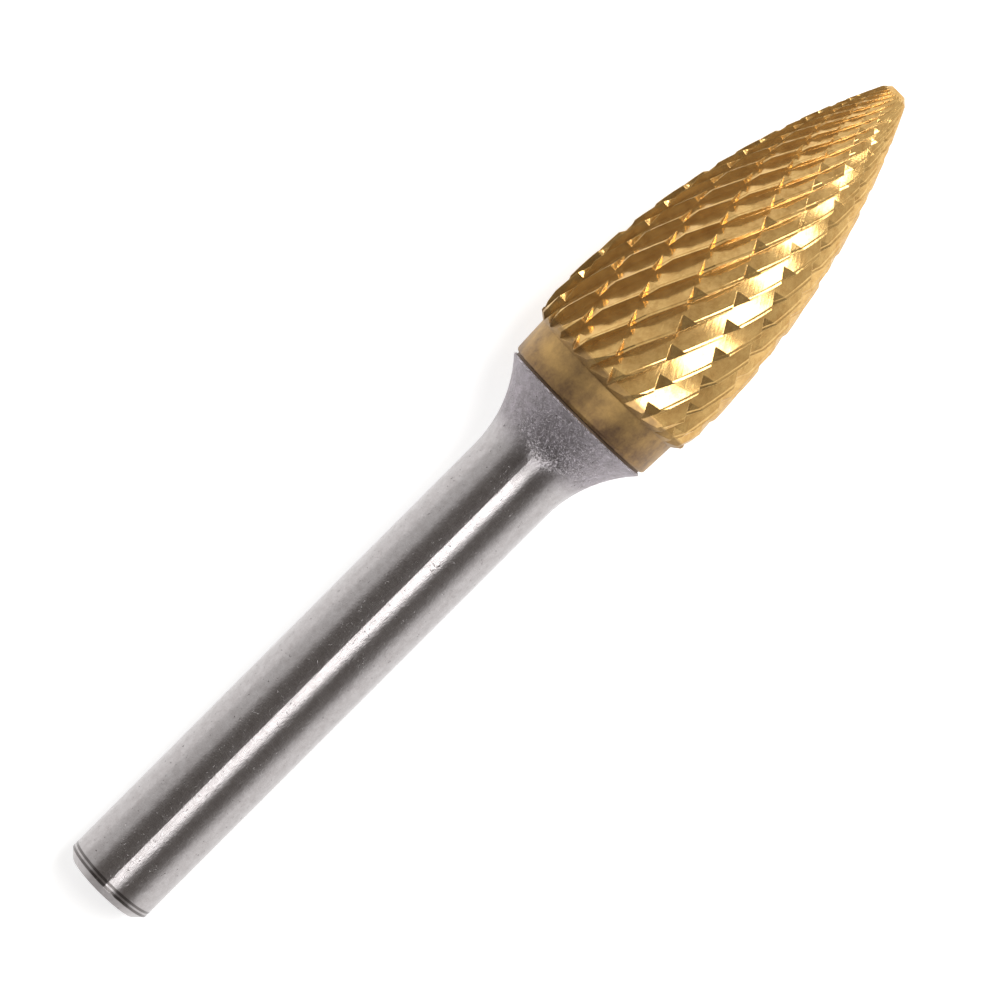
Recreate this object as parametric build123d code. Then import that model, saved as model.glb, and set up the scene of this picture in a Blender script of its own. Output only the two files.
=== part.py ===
from build123d import *

import os
from math import acos, asin, atan2, ceil, cos, floor, log, pi, radians, sin, sqrt, tan

os.makedirs("parts", exist_ok=True)

# Pointed-tree carbide burr with a double-cut head: a sintered carbide head and neck,
# brazed onto the flared end of a ground steel shank. Millimetres and degrees.

# Driving dimensions: whole tool and steel shank
overall_length = 69.85
shank_diameter = 6.35
shank_chamfer = 0.5
flare_radius = 8.4  # concave arc that swells the shank towards the head
flare_edge_chamfer = 0.1

# Driving dimensions: braze and unfluted neck
braze_thickness = 0.16
neck_length = 2.44
neck_drop = 0.12  # the neck stays this far below the flute roots
neck_taper = 0.10  # the neck grows by this much in radius towards the flutes
neck_edge_radius = 0.25
seam_step = 0.06  # the flare ends this far inside the neck's edge

# Driving dimensions: envelope of the fluted head
head_diameter = 12.7
fluted_length = 25.4
shoulder_length = 0.4  # steep ramp where the flutes run out
shoulder_drop = 0.25  # top of the ramp, below the full radius
lead_in_length = 1.5  # gentle cone from the ramp to the full diameter
tip_diameter = 1.54
tip_chamfer = 0.2

# Driving dimensions: flutes, right-hand, as cut at the full diameter
tooth_count = 24
helix_angle = 25.0
tooth_depth = 0.65
rake_draft = 10.0  # lean of the rake face from the radius
edge_step_angle = 18.0  # turn between the points that a tooth's edge passes through

# Driving dimensions: chip-breaker grooves, left-hand, as cut at the full diameter
breaker_count = 12
breaker_helix_angle = 25.0
breaker_depth = 0.49
breaker_flank_slope = 24.0  # rise of the gentle flank
breaker_wall_lean = 9.5  # lean of the steep flank from the normal
first_ring_back = 1.72  # from the full diameter back to the first ring of crossings
last_ring_diameter = 3.0  # the grooves stop where the head is this thin
wedge_ahead = 0.13  # the cut runs on past the crest by this share of a tooth's width
wedge_above = 0.1  # and stands above the crest by this share

newton_steps = 20  # more than enough for a place to settle to rounding error

# Radii
shank_radius = shank_diameter / 2
head_radius = head_diameter / 2
tip_radius = tip_diameter / 2
root_radius = head_radius - tooth_depth
neck_end_radius = root_radius - neck_drop
neck_start_radius = neck_end_radius - neck_taper
flare_end_radius = neck_start_radius - seam_step

# Places along the axis, from the free end of the shank
tip_at = overall_length
flute_start = tip_at - fluted_length
full_diameter_at = flute_start + shoulder_length + lead_in_length
neck_start = flute_start - neck_length
flare_end = neck_start - braze_thickness
flare_top = flare_end - flare_edge_chamfer
flare_turn = acos(1 - (flare_end_radius - shank_radius) / flare_radius)
flare_start = flare_top - flare_radius * sin(flare_turn)

# The nose is an arc, tangent to the full diameter and ending at the tip
nose_length = tip_at - full_diameter_at
nose_drop = head_radius - tip_radius
nose_radius = (nose_length**2 + nose_drop**2) / (2 * nose_drop)
nose_inset = nose_radius - head_radius

# Angles of the cut
tooth_pitch_angle = 2 * pi / tooth_count
helix = radians(helix_angle)
breaker_helix = radians(breaker_helix_angle)
crossing_angle = helix + breaker_helix


def crest_radius(z):
    """Radius of the tooth crests at a place along the axis."""
    past = max(z - full_diameter_at, 0)
    return sqrt(nose_radius**2 - past**2) - nose_inset


def place_of_radius(radius):
    """Place along the nose where the crests have this radius."""
    return full_diameter_at + sqrt(nose_radius**2 - (radius + nose_inset) ** 2)


def winding(z):
    """Sum of length over crest radius, from the full diameter to a place.

    A helix of constant angle turns by the tangent of that angle times this sum."""
    past = z - full_diameter_at
    if past <= 0:
        return past / head_radius
    turn = asin(past / nose_radius)
    root = sqrt(nose_radius**2 - nose_inset**2)
    half = (nose_radius + nose_inset) * tan(turn / 2)
    return turn + nose_inset / root * log((root + half) / (root - half))


def place_of_winding(wound):
    """Place along the axis where the winding has this value, by Newton's method."""
    z = full_diameter_at
    for _ in range(newton_steps):
        z = min(z + (wound - winding(z)) * crest_radius(z), tip_at + tip_radius)
    return z


def crest_angle(wound):
    """Angle of the first crest about the axis. At the full diameter, it and the last
    tooth's crest straddle the underside."""
    return pi + tooth_pitch_angle / 2 + wound * tan(helix)


def tooth_edge(radius, turn, start, end):
    """Helical edge of the first tooth, from its radius at the full diameter."""
    steps = ceil((end - start) * tan(helix) / radians(edge_step_angle))
    points = []
    for step in range(steps + 1):
        wound = start + (end - start) * step / steps
        z = place_of_winding(wound)
        here = radius * crest_radius(z) / head_radius
        angle = crest_angle(wound) + turn
        points.append((here * cos(angle), here * sin(angle), z))
    return Edge.make_spline([Vector(*point) for point in points])


def plain_tooth():
    """The first tooth as a twisted wedge of the head, from the axis out to its crest.

    It rises gently up its back to the crest and drops at the rake face to the next root."""
    start = winding(neck_start - neck_edge_radius)
    end = winding(tip_at + tip_chamfer)
    rake_turn = tooth_depth * tan(radians(rake_draft)) / root_radius
    axis = Edge.make_line((0, 0, place_of_winding(start)), (0, 0, place_of_winding(end)))
    root_behind = tooth_edge(root_radius, rake_turn - tooth_pitch_angle, start, end)
    crest = tooth_edge(head_radius, 0, start, end)
    root_ahead = tooth_edge(root_radius, rake_turn, start, end)
    edges = [axis, root_behind, crest, root_ahead]
    sides = [
        Face.make_surface_from_curves(here, after)
        for here, after in zip(edges, edges[1:] + edges[:1])
    ]
    ends = [
        make_face(Polyline(*[edge @ share for edge in edges], close=True)) for share in (0, 1)
    ]
    return Solid(Shell(sides + ends))


def breaker_wedge(share):
    """Wedge that a chip-breaker groove takes out of a tooth, at a share of the full size.

    X points up the gentle flank, Y outwards, and Z along the groove, past the rake face."""
    tooth_width = head_radius * tooth_pitch_angle * cos(helix)
    slope_width = tooth_width - tooth_depth * tan(radians(rake_draft)) * cos(helix)
    cut_width = slope_width * breaker_depth / tooth_depth
    front = wedge_ahead * tooth_width / sin(crossing_angle)
    back = (cut_width + slope_width) / 2 / sin(crossing_angle)
    over = wedge_above * tooth_width
    height = breaker_depth + over
    corners = [
        (0, -breaker_depth),
        (height / tan(radians(breaker_flank_slope)), over),
        (-height * tan(radians(breaker_wall_lean)), over),
    ]
    profile = make_face(Polyline(*[(x * share, y * share) for x, y in corners], close=True))
    return Pos(0, 0, -back * share) * extrude(profile, (back + front) * share)


def breaker_plane(wound):
    """Where the wedge sits: on the first crest, square to the nose and along the groove."""
    z = place_of_winding(wound)
    angle = crest_angle(wound)
    lean = asin(max(z - full_diameter_at, 0) / nose_radius)
    radial = Vector(cos(angle), sin(angle), 0)
    around = Vector(-sin(angle), cos(angle), 0)
    forward = Vector(0, 0, 1) * cos(lean) - radial * sin(lean)
    groove_way = forward * cos(breaker_helix) - around * sin(breaker_helix)
    flank_way = forward * sin(breaker_helix) + around * cos(breaker_helix)
    crest = radial * crest_radius(z) + Vector(0, 0, z)
    return Plane(crest, x_dir=flank_way, z_dir=-groove_way)


def notched_tooth(phase):
    """The first tooth, notched wherever a left-hand groove crosses its crest.

    Phase is how far the grooves have moved back, in teeth, from where one meets the
    first tooth at the first ring."""
    turn_between = 2 * pi / (tan(helix) + tan(breaker_helix))
    notch_run = breaker_depth / tan(radians(breaker_flank_slope)) / sin(crossing_angle)
    ring = winding(full_diameter_at - first_ring_back)
    first = (winding(flute_start - notch_run) - ring) / turn_between
    last = (winding(place_of_radius(last_ring_diameter / 2)) - ring) / turn_between
    behind = phase / tooth_count
    first_groove = ceil(first * breaker_count + behind)
    last_groove = floor(last * breaker_count + behind)
    wedges = []
    for groove in range(first_groove, last_groove + 1):
        wound = ring + turn_between * (groove - behind) / breaker_count
        share = crest_radius(place_of_winding(wound)) / head_radius
        wedges.append(breaker_plane(wound).location * breaker_wedge(share))
    return plain_tooth() - wedges


def fluted_bar():
    """Bar with all the teeth round it, past both ends of the head.

    Teeth that the grooves meet alike are turned copies, joined along their roots."""
    on_axis = Vertex(0, 0, full_diameter_at)
    skins = {}
    skin = []
    for tooth in range(tooth_count):
        phase = tooth * breaker_count % tooth_count
        if phase not in skins:
            faces = notched_tooth(phase).faces()
            skins[phase] = [face for face in faces if face.distance_to(on_axis) > neck_drop]
        skin += [Rot(0, 0, 360 * tooth / tooth_count) * face for face in skins[phase]]
    return Solid(Shell(skin))


def head_blank():
    """Turned blank: neck, ramp, lead-in cone and the blunt tip, clear of the nose between."""
    tip_flat_radius = tip_radius - tip_chamfer
    past_full = head_radius + shoulder_drop
    outline = Polyline(
        (0, neck_start),
        (neck_start_radius, neck_start),
        (neck_end_radius, flute_start),
        (head_radius - shoulder_drop, flute_start + shoulder_length),
        (past_full, full_diameter_at + lead_in_length),
        (past_full, tip_at + tip_flat_radius - past_full),
        (tip_flat_radius, tip_at),
        (0, tip_at),
        close=True,
    )
    profile = make_face(Plane.XZ * outline)
    edge = profile.vertices().sort_by_distance((neck_start_radius, 0, neck_start))[0]
    return revolve(fillet(edge, neck_edge_radius), Axis.Z)


def carbide_head():
    """Head and neck in one sintered piece, fluted right-hand and notched left-hand."""
    return head_blank() & fluted_bar()


def braze_joint():
    """Thin layer of braze, set back to where the neck's rounded edge begins."""
    radius = neck_start_radius - neck_edge_radius
    return Pos(0, 0, flare_end) * extrude(Circle(radius), braze_thickness)


def steel_shank():
    """Ground shank with a chamfered end and a concave flare up to the braze."""
    outline = (
        Polyline(
            (0, 0),
            (shank_radius - shank_chamfer, 0),
            (shank_radius, shank_chamfer),
            (shank_radius, flare_start),
        )
        + TangentArc((shank_radius, flare_start), (flare_end_radius, flare_top), tangent=(0, 1))
        + Polyline(
            (flare_end_radius, flare_top),
            (flare_end_radius - flare_edge_chamfer, flare_end),
            (0, flare_end),
            (0, 0),
        )
    )
    return revolve(make_face(Plane.XZ * outline), Axis.Z)


def lying_down(pieces):
    """The tool at rest on a flat surface, on two crests and the rim of the shank's chamfer.

    The axis leaves the shank's end along +X and rises by the tilt. The origin is at the
    bottom centre of the bounding box."""
    rise = head_radius * cos(tooth_pitch_angle / 2) - shank_radius
    tilt = atan2(rise, full_diameter_at - shank_chamfer)
    up = (-sin(tilt), 0, cos(tilt))
    lie = Plane((0, 0, 0), x_dir=up, z_dir=(cos(tilt), 0, sin(tilt))).location
    laid = {node: lie * piece for node, piece in pieces.items()}
    box = Compound(list(laid.values())).bounding_box()
    centre = Pos(-box.center().X, -box.center().Y, -box.min.Z)
    return {node: centre * piece for node, piece in laid.items()}


tool = lying_down(
    {
        "carbide_head": carbide_head(),
        "braze_joint": braze_joint(),
        "steel_shank": steel_shank(),
    }
)
for node, piece in tool.items():
    export_step(piece, f"parts/{node}.step")
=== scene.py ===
import math

import bpy
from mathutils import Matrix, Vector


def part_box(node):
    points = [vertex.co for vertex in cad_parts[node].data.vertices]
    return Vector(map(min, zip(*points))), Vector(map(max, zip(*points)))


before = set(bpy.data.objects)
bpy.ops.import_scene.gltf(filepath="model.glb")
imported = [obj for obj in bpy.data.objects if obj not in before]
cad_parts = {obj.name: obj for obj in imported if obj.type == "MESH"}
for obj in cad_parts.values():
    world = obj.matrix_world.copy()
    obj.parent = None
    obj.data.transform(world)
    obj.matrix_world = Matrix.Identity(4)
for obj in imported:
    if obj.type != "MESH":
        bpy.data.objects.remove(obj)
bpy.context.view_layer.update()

# ---------------------------------------------------------------------------------------
# Shank
# A bar of tool steel, ground true between centres and polished by handling, so a collet
# can grip it. Its end next to the head is turned to a flare, left as the lathe cut it.

SHANK_RADIUS_MM = 3.175
CHAMFER_MM = 0.5
TILT_DEG = 3.894
MM = 0.001

# Places along the tool are counted from the inner rim of the chamfer on the free end. The
# tool rests on that rim, and the upper edge of its end face is its furthest point back.
tilt = math.radians(TILT_DEG)
end_face_radius_mm = SHANK_RADIUS_MM - CHAMFER_MM
shank_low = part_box("steel_shank")[0]
rim_centre = (
    shank_low.x + MM * (CHAMFER_MM * math.cos(tilt) + end_face_radius_mm * math.sin(tilt)),
    0.0,
    MM * SHANK_RADIUS_MM * math.cos(tilt),
)

STEEL = "#B2AEAE"
STEEL_TURNED = "#CBC4CA"
STEEL_FILM = "#958F8E"
STEEL_PIT = "#5A5654"
SKIN_START_MM = 36.5
SKIN_FULL_MM = 39.5
MARKS_PER_MM = (9.0, 4.0, 4.0)
MARK_STRENGTH = 0.8
MARK_DEPTH = 0.00002
PITS_PER_MM = 5.5
PIT_START = 0.665
PIT_FULL = 0.72
FILM_PER_MM = 1.8
FILM_START = 0.4
FILM_FULL = 0.75
DARK_BAND_WIDTH_MM = 0.5
DARK_BAND_BLUR_MM = 0.03
DARK_BAND_MIX = 0.85
RING_HALF_MM = 0.04
RING_BLUR_MM = 0.04
SPECKS_PER_MM = (25.0, 25.0, 25.0)
CHANCE_MIDDLE = (0.5, 0.5, 0.5)
GROUND_ROUGH = 0.31
TURNED_ROUGH = 0.68


def linear(srgb_hex):
    """An sRGB hex colour as linear RGBA."""
    parts = [int(srgb_hex[i : i + 2], 16) / 255 for i in (1, 3, 5)]
    return tuple(c / 12.92 if c <= 0.04045 else ((c + 0.055) / 1.055) ** 2.4 for c in parts) + (1.0,)


def node(tree, kind, settings=None, **links):
    """Adds a node. Settings are its attributes; links are input values or other nodes' outputs.

    A link is named for the socket, or in_0, in_1 ... for its place. A colour mix takes in_6
    and in_7 and gives outputs[2], and a vector mix takes in_4 and in_5 and gives outputs[1]."""
    made = tree.nodes.new(kind)
    for name, value in (settings or {}).items():
        setattr(made, name, value)
    for name, value in links.items():
        place = int(name[3:]) if name.startswith("in_") else name.replace("_", " ")
        socket = made.inputs[place]
        if isinstance(value, bpy.types.NodeSocket):
            tree.links.new(value, socket)
        else:
            socket.default_value = value
    return made


def new_material(name):
    """A material and its node tree, still empty."""
    material = bpy.data.materials.new(name)
    material.use_nodes = True
    material.node_tree.nodes.clear()
    return material, material.node_tree


def tool_place(tree):
    """Place on the tool in mm: x along its axis from the chamfer's rim, z up from its axis."""
    place = node(tree, "ShaderNodeTexCoord").outputs["Object"]
    return node(
        tree,
        "ShaderNodeMapping",
        {"vector_type": "TEXTURE"},
        Vector=place,
        Location=rim_centre,
        Rotation=(0, -tilt, 0),
        Scale=(MM, MM, MM),
    ).outputs[0]


def dress(name, material):
    """Gives a CAD node its material in every slot."""
    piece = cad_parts[name]
    if not piece.data.materials:
        piece.data.materials.append(material)
    for index in range(len(piece.data.materials)):
        piece.data.materials[index] = material


# Ground tool steel: it mirrors the room in soft bands, pale at its sides and dark on top, with
# one long line of shine. The turned flare is paler, grainy and has hardly any shine.
ground_steel, tree = new_material("ground_tool_steel")
place = tool_place(tree)
along = node(tree, "ShaderNodeSeparateXYZ", Vector=place).outputs["X"]
turned = node(
    tree,
    "ShaderNodeMapRange",
    {"interpolation_type": "SMOOTHSTEP"},
    Value=along,
    From_Min=SKIN_START_MM,
    From_Max=SKIN_FULL_MM,
).outputs[0]

# Grinding marks run round the bar. Real ones are a few microns apart, and they are drawn
# 0.1 mm apart so that they show.
marks_place = node(
    tree, "ShaderNodeVectorMath", {"operation": "MULTIPLY"}, in_0=place, in_1=MARKS_PER_MM
).outputs[0]
marks = node(
    tree, "ShaderNodeTexNoise", Vector=marks_place, Scale=1.0, Detail=4.0, Roughness=0.7
).outputs[0]

# Pits and handling marks are 0.1 to 0.2 mm across.
pits = node(
    tree, "ShaderNodeTexNoise", Vector=place, Scale=PITS_PER_MM, Detail=3.0, Roughness=0.6
).outputs[0]
pitted = node(
    tree, "ShaderNodeMapRange", Value=pits, From_Min=PIT_START, From_Max=PIT_FULL
).outputs[0]

# The film of oil and age is cloudy, in patches of about 0.5 mm.
film = node(
    tree, "ShaderNodeTexNoise", Vector=place, Scale=FILM_PER_MM, Detail=9.0, Roughness=0.85
).outputs[0]
filmed = node(
    tree, "ShaderNodeMapRange", Value=film, From_Min=FILM_START, From_Max=FILM_FULL
).outputs[0]

clean = node(
    tree,
    "ShaderNodeMix",
    {"data_type": "RGBA"},
    Factor=turned,
    in_6=linear(STEEL),
    in_7=linear(STEEL_TURNED),
).outputs[2]
aged = node(
    tree, "ShaderNodeMix", {"data_type": "RGBA"}, Factor=filmed, in_6=clean, in_7=linear(STEEL_FILM)
).outputs[2]
marked = node(
    tree, "ShaderNodeMix", {"data_type": "RGBA"}, Factor=pitted, in_6=aged, in_7=linear(STEEL_PIT)
).outputs[2]

# A narrow band next to the chamfer is darker, mixed towards the pit colour, with a ring of plain
# steel down its middle.
ring_off = node(
    tree, "ShaderNodeMath", {"operation": "SUBTRACT"}, in_0=along, in_1=DARK_BAND_WIDTH_MM / 2
).outputs[0]
ring_off = node(tree, "ShaderNodeMath", {"operation": "ABSOLUTE"}, in_0=ring_off).outputs[0]
off_ring = node(
    tree,
    "ShaderNodeMapRange",
    Value=ring_off,
    From_Min=RING_HALF_MM,
    From_Max=RING_HALF_MM + RING_BLUR_MM,
).outputs[0]
in_band = node(
    tree,
    "ShaderNodeMapRange",
    Value=ring_off,
    From_Min=DARK_BAND_WIDTH_MM / 2,
    From_Max=DARK_BAND_WIDTH_MM / 2 - DARK_BAND_BLUR_MM,
    To_Min=0.0,
    To_Max=DARK_BAND_MIX,
).outputs[0]
band_darkening = node(
    tree, "ShaderNodeMath", {"operation": "MULTIPLY"}, in_0=off_ring, in_1=in_band
).outputs[0]
colour = node(
    tree, "ShaderNodeMix", {"data_type": "RGBA"}, Factor=band_darkening, in_6=marked, in_7=linear(STEEL_PIT)
).outputs[2]

# Polish draws the shine out along the bar. The lathe's skin on the flare has no such lay:
# each speck of 0.04 mm shines its own way.
speck_place = node(
    tree, "ShaderNodeVectorMath", {"operation": "MULTIPLY"}, in_0=place, in_1=SPECKS_PER_MM
).outputs[0]
speck = node(
    tree, "ShaderNodeVectorMath", {"operation": "FLOOR"}, in_0=speck_place
).outputs[0]
chance = node(
    tree, "ShaderNodeTexWhiteNoise", {"noise_dimensions": "3D"}, Vector=speck
).outputs["Color"]
any_way = node(
    tree, "ShaderNodeVectorMath", {"operation": "SUBTRACT"}, in_0=chance, in_1=CHANCE_MIDDLE
).outputs[0]
lengthwise = (math.cos(tilt), 0.0, math.sin(tilt))
lay = node(
    tree,
    "ShaderNodeMix",
    {"data_type": "VECTOR"},
    Factor=turned,
    in_4=lengthwise,
    in_5=any_way,
).outputs[1]

rough = node(
    tree, "ShaderNodeMapRange", Value=turned, To_Min=GROUND_ROUGH, To_Max=TURNED_ROUGH
).outputs[0]
heights = node(
    tree, "ShaderNodeMath", {"operation": "SUBTRACT"}, in_0=marks, in_1=pitted
).outputs[0]
surface = node(
    tree, "ShaderNodeBump", Strength=MARK_STRENGTH, Distance=MARK_DEPTH, Height=heights
).outputs[0]
shader = node(
    tree,
    "ShaderNodeBsdfPrincipled",
    Base_Color=colour,
    Metallic=1.0,
    Roughness=rough,
    Anisotropic=1.0,
    Tangent=lay,
    Normal=surface,
)
node(tree, "ShaderNodeOutputMaterial", Surface=shader.outputs[0])
dress("steel_shank", ground_steel)

# ---------------------------------------------------------------------------------------
# Braze
# Silver solder, melted in as a thin sheet between the flare and the carbide, which holds
# the two together. Flux has darkened its edge.

BRAZE = "#6B5A4C"
FLUX_PER_MM = 3.0
BRAZE_ROUGH_LEAST = 0.5
BRAZE_ROUGH_MOST = 0.75
FLUX_STRENGTH = 0.5
FLUX_DEPTH = 0.00003

# Fluxed silver braze: a thin brown seam, dull and uneven in patches of 0.3 mm.
silver_braze, tree = new_material("silver_braze_fluxed")
place = tool_place(tree)
stain = node(
    tree, "ShaderNodeTexNoise", Vector=place, Scale=FLUX_PER_MM, Detail=4.0
).outputs[0]
rough = node(
    tree, "ShaderNodeMapRange", Value=stain, To_Min=BRAZE_ROUGH_LEAST, To_Max=BRAZE_ROUGH_MOST
).outputs[0]
surface = node(
    tree, "ShaderNodeBump", Strength=FLUX_STRENGTH, Distance=FLUX_DEPTH, Height=stain
).outputs[0]
shader = node(
    tree,
    "ShaderNodeBsdfPrincipled",
    Base_Color=linear(BRAZE),
    Metallic=1.0,
    Roughness=rough,
    Normal=surface,
)
node(tree, "ShaderNodeOutputMaterial", Surface=shader.outputs[0])
dress("braze_joint", silver_braze)

# ---------------------------------------------------------------------------------------
# Head
# Cemented carbide, sintered and then fluted with a diamond wheel, and coated with titanium
# nitride. The neck keeps its sintered skin under the coating, so it is dull.

TOOTH_COUNT = 24
GROOVE_COUNT = 12
HELIX_DEG = 25.0
HEAD_RADIUS_MM = 6.35
NOSE_RADIUS_MM = 52.27
FULL_DIAMETER_MM = 45.85
FIRST_RING_MM = 1.72
STRIP_ALONG_MM = 0.5

NITRIDE = "#D4AE6C"
NITRIDE_DEEP = "#B4884A"
NITRIDE_DULL = "#B8955C"
NITRIDE_STAIN = "#6E5640"
GROUND_START_MM = 44.55
GROUND_FULL_MM = 44.75
CLOUDS_PER_MM = 1.6
CLOUD_START = 0.4
CLOUD_FULL = 0.75
STAINS_PER_MM = 0.45
STAIN_START = 0.38
STAIN_FULL = 0.74
SEAM_STAIN_START_MM = 42.95
SEAM_STAIN_FULL_MM = 42.05
SEAM_STAIN = 0.14
NECK_METALLIC = 0.78
LAND_METALLIC = 0.74
NECK_ROUGH = 0.48
LAND_ROUGH = 0.19
EDGE_HONE = 0.00006
LAND_LEAN = 0.05
STRIP_LEAN = 0.3
STRIP_LEAN_FULL = 0.03
STRIP_LEAN_END = 0.1
FEED_MARKS = (15.0, 1.2, 1.0)
GRIT_PER_MM = 14.0
GRIT_SHARE = 0.3
FEED_STRENGTH = 0.3
FEED_DEPTH = 0.00002

# Titanium nitride over ground carbide: deep gold that mirrors the light on the lands and goes
# brown in the flutes. It is a thin ceramic with a metal's shine, so it isn't wholly metallic.
coated_carbide, tree = new_material("nitride_coated_carbide")
place = tool_place(tree)
along = node(tree, "ShaderNodeSeparateXYZ", Vector=place).outputs["X"]
# The wheel's ground finish takes over from the sintered skin just past the shoulder.
ground = node(
    tree, "ShaderNodeMapRange", Value=along, From_Min=GROUND_START_MM, From_Max=GROUND_FULL_MM
).outputs[0]

# Heat and flux have stained the neck in patches of about 2 mm, and more so near the seam.
stain = node(
    tree, "ShaderNodeTexNoise", Vector=place, Scale=STAINS_PER_MM, Detail=9.0, Roughness=0.72
).outputs[0]
near_seam = node(
    tree,
    "ShaderNodeMapRange",
    Value=along,
    From_Min=SEAM_STAIN_START_MM,
    From_Max=SEAM_STAIN_FULL_MM,
    To_Min=0.0,
    To_Max=SEAM_STAIN,
).outputs[0]
stained = node(
    tree, "ShaderNodeMath", {"operation": "ADD"}, in_0=stain, in_1=near_seam
).outputs[0]
stained = node(
    tree, "ShaderNodeMapRange", Value=stained, From_Min=STAIN_START, From_Max=STAIN_FULL
).outputs[0]
neck = node(
    tree,
    "ShaderNodeMix",
    {"data_type": "RGBA"},
    Factor=stained,
    in_6=linear(NITRIDE_DULL),
    in_7=linear(NITRIDE_STAIN),
).outputs[2]

# The coating is cloudy on the ground teeth, in patches of about 0.6 mm.
cloud = node(
    tree, "ShaderNodeTexNoise", Vector=place, Scale=CLOUDS_PER_MM, Detail=7.0, Roughness=0.7
).outputs[0]
clouded = node(
    tree, "ShaderNodeMapRange", Value=cloud, From_Min=CLOUD_START, From_Max=CLOUD_FULL
).outputs[0]
gold = node(
    tree,
    "ShaderNodeMix",
    {"data_type": "RGBA"},
    Factor=clouded,
    in_6=linear(NITRIDE),
    in_7=linear(NITRIDE_DEEP),
).outputs[2]
colour = node(
    tree, "ShaderNodeMix", {"data_type": "RGBA"}, Factor=ground, in_6=neck, in_7=gold
).outputs[2]
metallic = node(
    tree, "ShaderNodeMapRange", Value=ground, To_Min=NECK_METALLIC, To_Max=LAND_METALLIC
).outputs[0]
rough = node(
    tree, "ShaderNodeMapRange", Value=ground, To_Min=NECK_ROUGH, To_Max=LAND_ROUGH
).outputs[0]

# How far a crest has wound round the head at each place. It is the sum of length over crest
# radius along the arc of the nose, times the slope of the helix. It is taken 0.5 mm back along
# the axis, so the lines that follow from it keep 0.2 mm behind the crests.
past = node(
    tree,
    "ShaderNodeMath",
    {"operation": "SUBTRACT"},
    in_0=along,
    in_1=FULL_DIAMETER_MM + STRIP_ALONG_MM,
).outputs[0]
slope = node(
    tree, "ShaderNodeMath", {"operation": "DIVIDE"}, in_0=past, in_1=NOSE_RADIUS_MM
).outputs[0]
slope = node(tree, "ShaderNodeMath", {"operation": "ARCSINE"}, in_0=slope).outputs[0]
inset_mm = NOSE_RADIUS_MM - HEAD_RADIUS_MM
root_mm = math.sqrt(NOSE_RADIUS_MM**2 - inset_mm**2)
half = node(tree, "ShaderNodeMath", {"operation": "MULTIPLY"}, in_0=slope, in_1=0.5).outputs[0]
half = node(tree, "ShaderNodeMath", {"operation": "TANGENT"}, in_0=half).outputs[0]
half = node(
    tree, "ShaderNodeMath", {"operation": "MULTIPLY"}, in_0=half, in_1=NOSE_RADIUS_MM + inset_mm
).outputs[0]
more = node(tree, "ShaderNodeMath", {"operation": "ADD"}, in_0=half, in_1=root_mm).outputs[0]
less = node(tree, "ShaderNodeMath", {"operation": "SUBTRACT"}, in_0=root_mm, in_1=half).outputs[0]
ratio = node(tree, "ShaderNodeMath", {"operation": "DIVIDE"}, in_0=more, in_1=less).outputs[0]
logged = node(
    tree, "ShaderNodeMath", {"operation": "LOGARITHM"}, in_0=ratio, in_1=math.e
).outputs[0]
wound = node(
    tree,
    "ShaderNodeMath",
    {"operation": "MULTIPLY_ADD"},
    in_0=logged,
    in_1=inset_mm / root_mm,
    in_2=slope,
).outputs[0]
helix_slope = math.tan(math.radians(HELIX_DEG))
twist = node(
    tree, "ShaderNodeMath", {"operation": "MULTIPLY"}, in_0=wound, in_1=helix_slope
).outputs[0]

# Teeth and grooves are counted round the head from its underside, which two crests straddle.
# The tooth count changes 0.2 mm behind each crest, and the groove count beside each groove.
apart = node(tree, "ShaderNodeSeparateXYZ", Vector=place).outputs
right = node(
    tree, "ShaderNodeMath", {"operation": "MULTIPLY"}, in_0=apart["Y"], in_1=-1.0
).outputs[0]
turn = node(
    tree, "ShaderNodeMath", {"operation": "ARCTAN2"}, in_0=right, in_1=apart["Z"]
).outputs[0]
tooth_pitch = 2 * math.pi / TOOTH_COUNT
groove_pitch = 2 * math.pi / GROOVE_COUNT
tooth = node(tree, "ShaderNodeMath", {"operation": "SUBTRACT"}, in_0=turn, in_1=twist).outputs[0]
tooth = node(
    tree, "ShaderNodeMath", {"operation": "DIVIDE"}, in_0=tooth, in_1=tooth_pitch
).outputs[0]
tooth = node(
    tree, "ShaderNodeMath", {"operation": "SUBTRACT"}, in_0=tooth, in_1=TOOTH_COUNT / 2 + 0.5
).outputs[0]
first_ring = helix_slope * 2 * FIRST_RING_MM / HEAD_RADIUS_MM
first_groove = first_ring - math.pi - tooth_pitch / 2
groove = node(tree, "ShaderNodeMath", {"operation": "ADD"}, in_0=turn, in_1=twist).outputs[0]
groove = node(
    tree, "ShaderNodeMath", {"operation": "ADD"}, in_0=groove, in_1=first_groove
).outputs[0]
groove = node(
    tree, "ShaderNodeMath", {"operation": "DIVIDE"}, in_0=groove, in_1=groove_pitch
).outputs[0]

# No two lands lie quite alike, because the wheel rides over the grooves: each leans up to
# about 2 degrees its own way. Coating and use leave every edge slightly round, drawn 0.06 mm
# wide so that it shows.
tooth_number = node(tree, "ShaderNodeMath", {"operation": "FLOOR"}, in_0=tooth).outputs[0]
tooth_number = node(
    tree,
    "ShaderNodeMath",
    {"operation": "FLOORED_MODULO"},
    in_0=tooth_number,
    in_1=TOOTH_COUNT,
).outputs[0]
groove_number = node(tree, "ShaderNodeMath", {"operation": "FLOOR"}, in_0=groove).outputs[0]
groove_number = node(
    tree,
    "ShaderNodeMath",
    {"operation": "FLOORED_MODULO"},
    in_0=groove_number,
    in_1=GROOVE_COUNT,
).outputs[0]
land = node(tree, "ShaderNodeCombineXYZ", X=tooth_number, Y=groove_number).outputs[0]
chance = node(
    tree, "ShaderNodeTexWhiteNoise", {"noise_dimensions": "3D"}, Vector=land
).outputs["Color"]
any_way = node(
    tree, "ShaderNodeVectorMath", {"operation": "SUBTRACT"}, in_0=chance, in_1=CHANCE_MIDDLE
).outputs[0]
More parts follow.
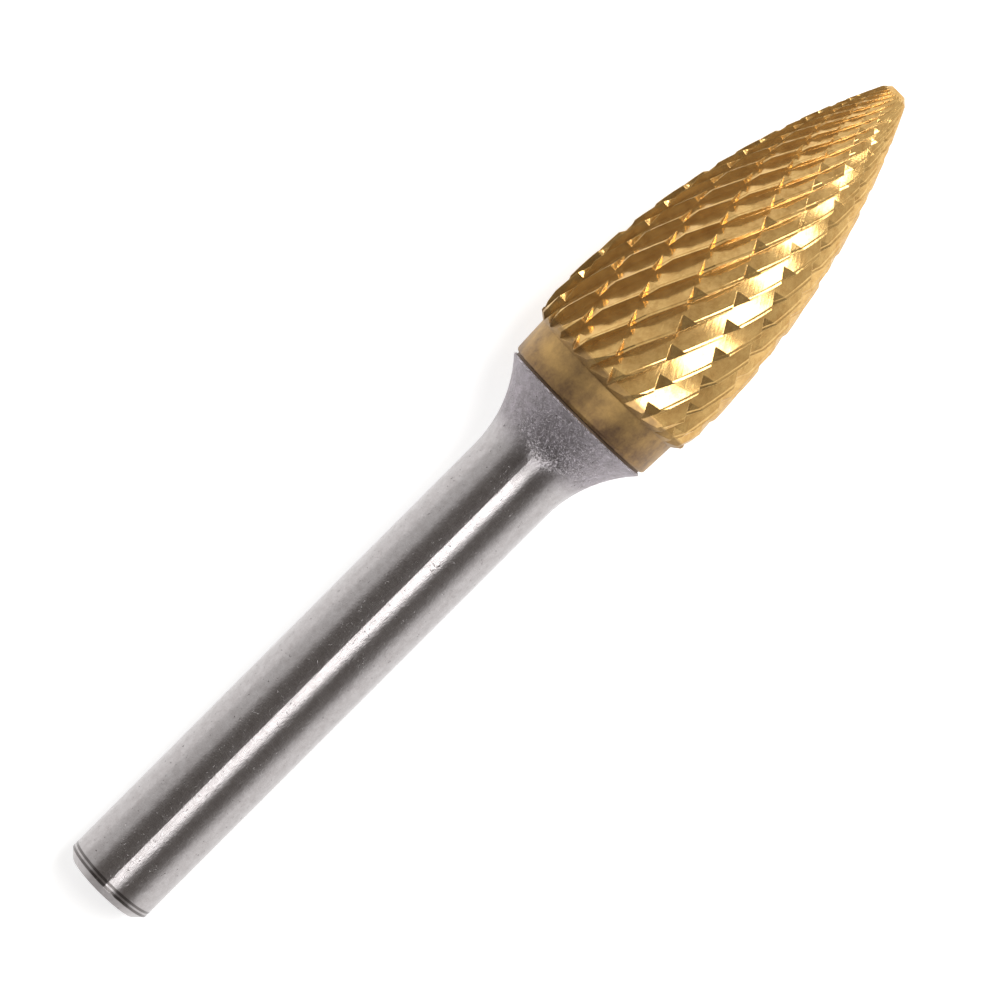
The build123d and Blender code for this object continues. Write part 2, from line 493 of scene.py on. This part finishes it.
honed = node(tree, "ShaderNodeBevel", {"samples": 6}, Radius=EDGE_HONE).outputs[0]
leaning = node(
    tree,
    "ShaderNodeVectorMath",
    {"operation": "MULTIPLY_ADD"},
    in_0=any_way,
    in_1=(LAND_LEAN, LAND_LEAN, LAND_LEAN),
    in_2=honed,
).outputs[0]

# The wheel's last pass leaves a narrow strip along each crest. The strip's inner edge leans
# towards the crest, and shows as a thin line along the land.
step = node(tree, "ShaderNodeMath", {"operation": "FRACT"}, in_0=tooth).outputs[0]
strip = node(
    tree,
    "ShaderNodeMapRange",
    Value=step,
    From_Min=STRIP_LEAN_END,
    From_Max=STRIP_LEAN_FULL,
    To_Min=0.0,
    To_Max=STRIP_LEAN,
).outputs[0]
strip = node(tree, "ShaderNodeMath", {"operation": "MULTIPLY"}, in_0=strip, in_1=ground).outputs[0]
cosine = node(tree, "ShaderNodeMath", {"operation": "COSINE"}, in_0=turn).outputs[0]
sine = node(tree, "ShaderNodeMath", {"operation": "SINE"}, in_0=turn).outputs[0]
away_from_crest = node(tree, "ShaderNodeCombineXYZ", Y=cosine, Z=sine).outputs[0]
strip_lean = node(
    tree, "ShaderNodeVectorMath", {"operation": "SCALE"}, in_0=away_from_crest, Scale=strip
).outputs[0]
faced = node(
    tree, "ShaderNodeVectorMath", {"operation": "SUBTRACT"}, in_0=leaning, in_1=strip_lean
).outputs[0]

# Feed marks cross each land along the grooves. Real ones are 0.02 mm apart, and they are
# drawn 0.2 mm apart so that they show: FEED_MARKS gives how many lie in a groove's pitch and
# in a tooth's. The sintered grit is drawn at 0.07 mm for the same reason.
feed_place = node(tree, "ShaderNodeCombineXYZ", X=groove, Y=tooth).outputs[0]
feed_place = node(
    tree, "ShaderNodeVectorMath", {"operation": "MULTIPLY"}, in_0=feed_place, in_1=FEED_MARKS
).outputs[0]
feed = node(tree, "ShaderNodeTexNoise", Vector=feed_place, Scale=1.0, Detail=3.0).outputs[0]
grit = node(tree, "ShaderNodeTexNoise", Vector=place, Scale=GRIT_PER_MM, Detail=3.0).outputs[0]
heights = node(
    tree,
    "ShaderNodeMath",
    {"operation": "MULTIPLY_ADD"},
    in_0=grit,
    in_1=GRIT_SHARE,
    in_2=feed,
).outputs[0]
surface = node(
    tree,
    "ShaderNodeBump",
    Strength=FEED_STRENGTH,
    Distance=FEED_DEPTH,
    Height=heights,
    Normal=faced,
).outputs[0]
shader = node(
    tree,
    "ShaderNodeBsdfPrincipled",
    Base_Color=colour,
    Metallic=metallic,
    Roughness=rough,
    Normal=surface,
)
node(tree, "ShaderNodeOutputMaterial", Surface=shader.outputs[0])
dress("carbide_head", coated_carbide)

# ---------------------------------------------------------------------------------------
# Table
# A light table topped with white laminate. The tool lies loose on it. It glows a little, so
# that shadows stay faint.

TABLE_SIDE = 6.0
LAMINATE = "#CCCCCC"
LAMINATE_ROUGH = 0.9
LAMINATE_GLOW = 0.72

# Matt laminate: flat white, with no shine and only a faint shadow on it.
white_laminate, tree = new_material("matt_white_laminate")
shader = node(
    tree,
    "ShaderNodeBsdfPrincipled",
    Base_Color=linear(LAMINATE),
    Roughness=LAMINATE_ROUGH,
    Emission_Color=(1, 1, 1, 1),
    Emission_Strength=LAMINATE_GLOW,
)
node(tree, "ShaderNodeOutputMaterial", Surface=shader.outputs[0])
mesh = bpy.data.meshes.new("table")
half = TABLE_SIDE / 2
corners = [(-half, -half, 0), (half, -half, 0), (half, half, 0), (-half, half, 0)]
mesh.from_pydata(corners, [], [(0, 1, 2, 3)])
mesh.materials.append(white_laminate)
table = bpy.data.objects.new("table", mesh)
bpy.context.scene.collection.objects.link(table)

# ---------------------------------------------------------------------------------------
# Room
# White walls round a dark ceiling, which the steel and the lands mirror. The wall past the
# shank is grey, and the ceiling is paler past the head and round the softbox.

WALL = "#F4F3F2"
END_WALL = "#75706E"
END_WALL_START = -0.45
END_WALL_FULL = -0.85
CEILING = "#4E4947"
CEILING_LIT = "#B4AEA8"
CEILING_LIT_START = -0.15
CEILING_LIT_FULL = 0.3
CEILING_LEAN = math.radians(12.0)
CEILING_EDGE_DEG = 64.0
CEILING_BLUR_DEG = 3.5
GLOW = 1.0
GLOW_ALONG = math.radians(30.0)
GLOW_ACROSS = math.radians(14.0)
GLOW_EDGE_DEG = 21.0
GLOW_CORE_DEG = 12.0

world = bpy.data.worlds.new("room")
world.use_nodes = True
tree = world.node_tree
tree.nodes.clear()
way = node(tree, "ShaderNodeTexCoord").outputs["Generated"]
toward_tip = node(tree, "ShaderNodeSeparateXYZ", Vector=way).outputs["X"]

# The ceiling is a disc with a soft edge, and its middle leans towards -Y.
ceiling_middle = (0.0, -math.sin(CEILING_LEAN), math.cos(CEILING_LEAN))
height = node(
    tree, "ShaderNodeVectorMath", {"operation": "DOT_PRODUCT"}, in_0=way, in_1=ceiling_middle
).outputs["Value"]
overhead = node(
    tree,
    "ShaderNodeMapRange",
    {"interpolation_type": "SMOOTHSTEP"},
    Value=height,
    From_Min=math.cos(math.radians(CEILING_EDGE_DEG + CEILING_BLUR_DEG)),
    From_Max=math.cos(math.radians(CEILING_EDGE_DEG - CEILING_BLUR_DEG)),
).outputs[0]
lit = node(
    tree,
    "ShaderNodeMapRange",
    {"interpolation_type": "SMOOTHSTEP"},
    Value=toward_tip,
    From_Min=CEILING_LIT_START,
    From_Max=CEILING_LIT_FULL,
).outputs[0]
ceiling = node(
    tree,
    "ShaderNodeMix",
    {"data_type": "RGBA"},
    Factor=lit,
    in_6=linear(CEILING),
    in_7=linear(CEILING_LIT),
).outputs[2]

toward_shank = node(
    tree,
    "ShaderNodeMapRange",
    {"interpolation_type": "SMOOTHSTEP"},
    Value=toward_tip,
    From_Min=END_WALL_START,
    From_Max=END_WALL_FULL,
).outputs[0]
walls = node(
    tree,
    "ShaderNodeMix",
    {"data_type": "RGBA"},
    Factor=toward_shank,
    in_6=linear(WALL),
    in_7=linear(END_WALL),
).outputs[2]

# The softbox spills light on the ceiling round it.
glow_middle = (
    math.cos(GLOW_ACROSS) * math.sin(GLOW_ALONG),
    -math.sin(GLOW_ACROSS),
    math.cos(GLOW_ACROSS) * math.cos(GLOW_ALONG),
)
near_softbox = node(
    tree, "ShaderNodeVectorMath", {"operation": "DOT_PRODUCT"}, in_0=way, in_1=glow_middle
).outputs["Value"]
spill = node(
    tree,
    "ShaderNodeMapRange",
    {"interpolation_type": "SMOOTHSTEP"},
    Value=near_softbox,
    From_Min=math.cos(math.radians(GLOW_EDGE_DEG)),
    From_Max=math.cos(math.radians(GLOW_CORE_DEG)),
).outputs[0]
glowing = node(
    tree,
    "ShaderNodeMix",
    {"data_type": "RGBA"},
    Factor=spill,
    in_6=ceiling,
    in_7=(GLOW, GLOW, GLOW, 1),
).outputs[2]
shade = node(
    tree, "ShaderNodeMix", {"data_type": "RGBA"}, Factor=overhead, in_6=walls, in_7=glowing
).outputs[2]
back = node(tree, "ShaderNodeBackground", Color=shade, Strength=1.0)
node(tree, "ShaderNodeOutputWorld", Surface=back.outputs[0])
bpy.context.scene.world = world

# ---------------------------------------------------------------------------------------
# Softbox
# An oval softbox hung overhead, off towards the tip and a little towards -Y. It makes the
# long line of shine on the shank and the white lands on the head.

LIGHT_FAR = 0.6
LIGHT_ALONG = math.radians(28.0)
LIGHT_ACROSS = math.radians(12.0)
LIGHT_HALF_ALONG = math.radians(21.0)
LIGHT_HALF_ACROSS = math.radians(11.5)
LIGHT_WATTS = 3.4

softbox = bpy.data.lights.new("softbox", "AREA")
softbox.shape = "ELLIPSE"
softbox.size = 2 * LIGHT_FAR * math.tan(LIGHT_HALF_ALONG)
softbox.size_y = 2 * LIGHT_FAR * math.tan(LIGHT_HALF_ACROSS)
softbox.energy = LIGHT_WATTS
lamp = bpy.data.objects.new("softbox", softbox)
lamp.location = (
    LIGHT_FAR * math.cos(LIGHT_ACROSS) * math.sin(LIGHT_ALONG),
    -LIGHT_FAR * math.sin(LIGHT_ACROSS),
    LIGHT_FAR * math.cos(LIGHT_ACROSS) * math.cos(LIGHT_ALONG),
)
lamp.rotation_euler = (LIGHT_ACROSS, LIGHT_ALONG, 0)
bpy.context.scene.collection.objects.link(lamp)

# ---------------------------------------------------------------------------------------
# Camera
# A long lens looking straight down, turned so that the tool runs from lower left to upper
# right.

CAMERA_PLACE = (-0.00020, -0.00042, 0.3459)
CAMERA_TURN_DEG = -45.0
LENS_MM = 197.6
SENSOR_MM = 36.0

lens = bpy.data.cameras.new("camera")
lens.lens = LENS_MM
lens.sensor_width = SENSOR_MM
camera = bpy.data.objects.new("camera", lens)
camera.location = CAMERA_PLACE
camera.rotation_euler = (0, 0, math.radians(CAMERA_TURN_DEG))
bpy.context.scene.collection.objects.link(camera)
bpy.context.scene.camera = camera
bpy.context.scene.view_settings.view_transform = "Standard"
